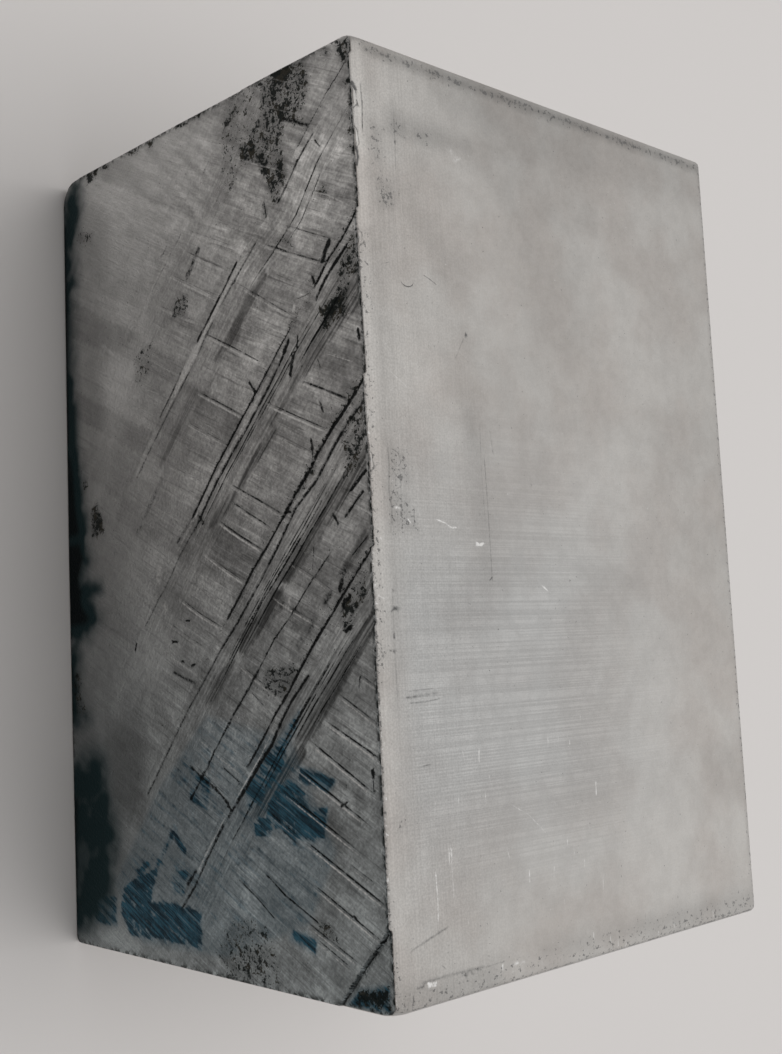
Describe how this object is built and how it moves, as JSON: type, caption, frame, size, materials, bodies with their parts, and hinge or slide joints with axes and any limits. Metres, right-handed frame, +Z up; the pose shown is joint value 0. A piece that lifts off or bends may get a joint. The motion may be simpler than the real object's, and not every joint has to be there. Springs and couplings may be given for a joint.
{
  "type": "aluminium block",
  "caption": "Short rectangular offcut of extruded aluminium flat bar, hand sawn at one end with stepped saw facets, smooth mill finish on the wide sides.",
  "frame": {"origin": "on the table, under the middle of the block's bounding box", "axes": "+X across the bar's width, +Y along the bar away from the hand sawn face, +Z up through the bar's thickness"},
  "size_m": [0.0762, 0.0494, 0.0444],
  "materials": {
    "aluminium": "mill finish, with one hand sawn face that holds dark grime and blue layout dye"
  },
  "bodies": {
    "root": {"aluminium_block": "aluminium"}
  },
  "joints": []
}
